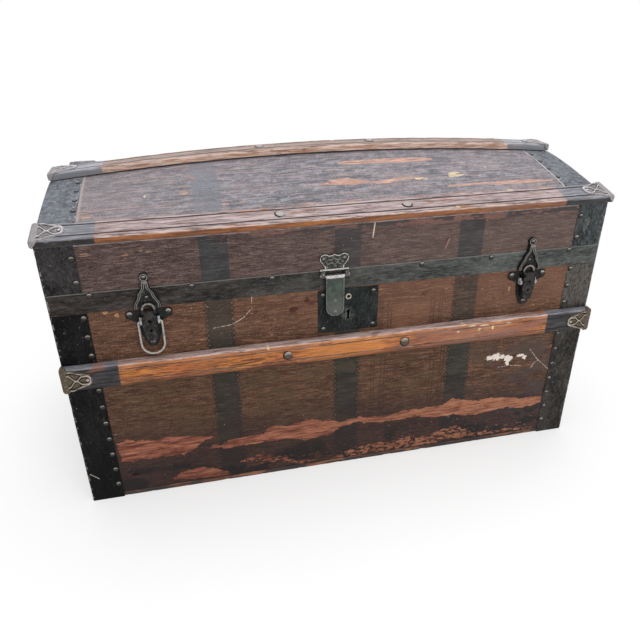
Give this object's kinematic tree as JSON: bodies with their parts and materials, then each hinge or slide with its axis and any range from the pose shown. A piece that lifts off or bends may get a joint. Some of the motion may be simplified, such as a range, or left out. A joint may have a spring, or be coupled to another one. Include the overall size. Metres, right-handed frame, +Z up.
{
  "type": "dome top trunk",
  "caption": "Dome top travel trunk with riveted sheet-iron bindings, wooden slats in end clamps, a hasp lock, draw latches, leather end handles and an arched lid on slotted stays.",
  "frame": {"origin": "the middle of the underside, on the floor", "axes": "+X along the length, +Y from the front with the lock to the back with the hinges, +Z up"},
  "size_m": [0.914, 0.4656, 0.5242],
  "materials": {
    "covered_board": "thin printed covering, dark red-brown with charcoal bands, worn",
    "bare_wood": "unfinished, aged",
    "slat_wood": "oiled, orange-brown, scuffed",
    "body_clamp_iron": "olive-brown lacquer worn to bright edges",
    "lid_clamp_iron": "grey-brown lacquer worn to bright edges",
    "binding_iron": "dark grey-green, satin, rust-flecked",
    "rivet_iron": "dark, worn",
    "button_iron": "dark, worn",
    "hinge_steel": "dull",
    "lock_iron": "dark, satin, scratched",
    "brass": "worn",
    "lock_steel": "dull",
    "hasp_metal": "dark grey-green with rubbed relief",
    "latch_metal": "dark olive-brown with rubbed relief",
    "wire_steel": "bright wire",
    "handle_leather": "dark, worn",
    "cap_iron": "dark, satin",
    "stay_steel": "dull"
  },
  "bodies": {
    "trunk_body": {"body_back_bindings": "binding_iron", "body_back_board": "covered_board", "body_back_slat": "slat_wood", "body_front_bindings": "binding_iron", "body_front_board": "covered_board", "body_front_slat": "slat_wood", "body_left_end_board": "covered_board", "body_right_end_board": "covered_board", "body_rivets": "rivet_iron", "body_slat_clamps": "body_clamp_iron", "body_slat_rivets": "button_iron", "bottom_board": "bare_wood", "handle_caps": "cap_iron", "handle_rivets": "rivet_iron", "hinge_body_leaves": "hinge_steel", "hinge_pins": "hinge_steel", "latch_base_rivets": "latch_metal", "left_handle_strap": "handle_leather", "left_latch_base": "latch_metal", "lock_case": "lock_steel", "lock_eyelet": "brass", "lock_plate": "lock_iron", "lock_rivets": "lock_iron", "right_handle_strap": "handle_leather", "right_latch_base": "latch_metal", "stay_body_studs": "stay_steel"},
    "lid": {"hasp_pin": "hasp_metal", "hasp_plate": "hasp_metal", "hinge_lid_leaves": "hinge_steel", "latch_catch_rivets": "latch_metal", "left_latch_catch": "latch_metal", "lid_back_bindings": "binding_iron", "lid_back_board": "covered_board", "lid_back_slat": "slat_wood", "lid_back_top_panel": "covered_board", "lid_band": "binding_iron", "lid_front_bindings": "binding_iron", "lid_front_board": "covered_board", "lid_front_slat": "slat_wood", "lid_front_top_panel": "covered_board", "lid_left_dome_binding": "binding_iron", "lid_left_end_board": "covered_board", "lid_ridge_slat": "slat_wood", "lid_right_dome_binding": "binding_iron", "lid_right_end_board": "covered_board", "lid_rivets": "rivet_iron", "lid_slat_clamps": "lid_clamp_iron", "lid_slat_rivets": "button_iron", "right_latch_catch": "latch_metal", "stay_lid_pins": "stay_steel"},
    "hasp": {"hasp_tongue": "hasp_metal", "hasp_staple": "hasp_metal"},
    "left_lever": {"left_latch_lever": "latch_metal"},
    "right_lever": {"right_latch_lever": "latch_metal"},
    "left_loop": {"left_latch_loop": "wire_steel"},
    "left_stay": {"left_stay_arm": "stay_steel"},
    "right_stay": {"right_stay_arm": "stay_steel"},
    "lock_bolt": {"lock_bolt": "lock_steel"}
  },
  "joints": [
    {"name": "lid_hinge", "type": "hinge", "parent": "trunk_body", "child": "lid", "pos_m": [0, 0.2205, 0.346], "axis": [-1, 0, 0], "range_deg": [0, 100]},
    {"name": "left_stay_pivot", "type": "hinge", "parent": "lid", "child": "left_stay", "pos_m": [-0.4184, 0.07955, 0.3973], "axis": [-1, 0, 0], "range_deg": [-50, 0]},
    {"name": "right_stay_pivot", "type": "hinge", "parent": "lid", "child": "right_stay", "pos_m": [0.4184, 0.07955, 0.3973], "axis": [-1, 0, 0], "range_deg": [-50, 0]},
    {"name": "hasp_hinge", "type": "hinge", "parent": "lid", "child": "hasp", "pos_m": [-0.019, -0.2218, 0.371], "axis": [-1, 0, 0], "range_deg": [0, 150]},
    {"name": "left_latch_hinge", "type": "hinge", "parent": "trunk_body", "child": "left_lever", "pos_m": [-0.297, -0.2255, 0.3415], "axis": [-1, 0, 0], "range_deg": [0, 135]},
    {"name": "right_latch_hinge", "type": "hinge", "parent": "trunk_body", "child": "right_lever", "pos_m": [0.3075, -0.2255, 0.3415], "axis": [-1, 0, 0], "range_deg": [0, 135]},
    {"name": "left_loop_hinge", "type": "hinge", "parent": "trunk_body", "child": "left_loop", "pos_m": [-0.297, -0.2225, 0.326], "axis": [-1, 0, 0], "range_deg": [0, 165]},
    {"name": "lock_bolt_slide", "type": "slide", "parent": "trunk_body", "child": "lock_bolt", "axis": [1, 0, 0], "range_m": [0, 0.008]}
  ],
  "couplings": [
    {"joint": "left_stay_pivot", "follows": "lid_hinge", "ratio": -0.5},
    {"joint": "right_stay_pivot", "follows": "lid_hinge", "ratio": -0.5}
  ]
}
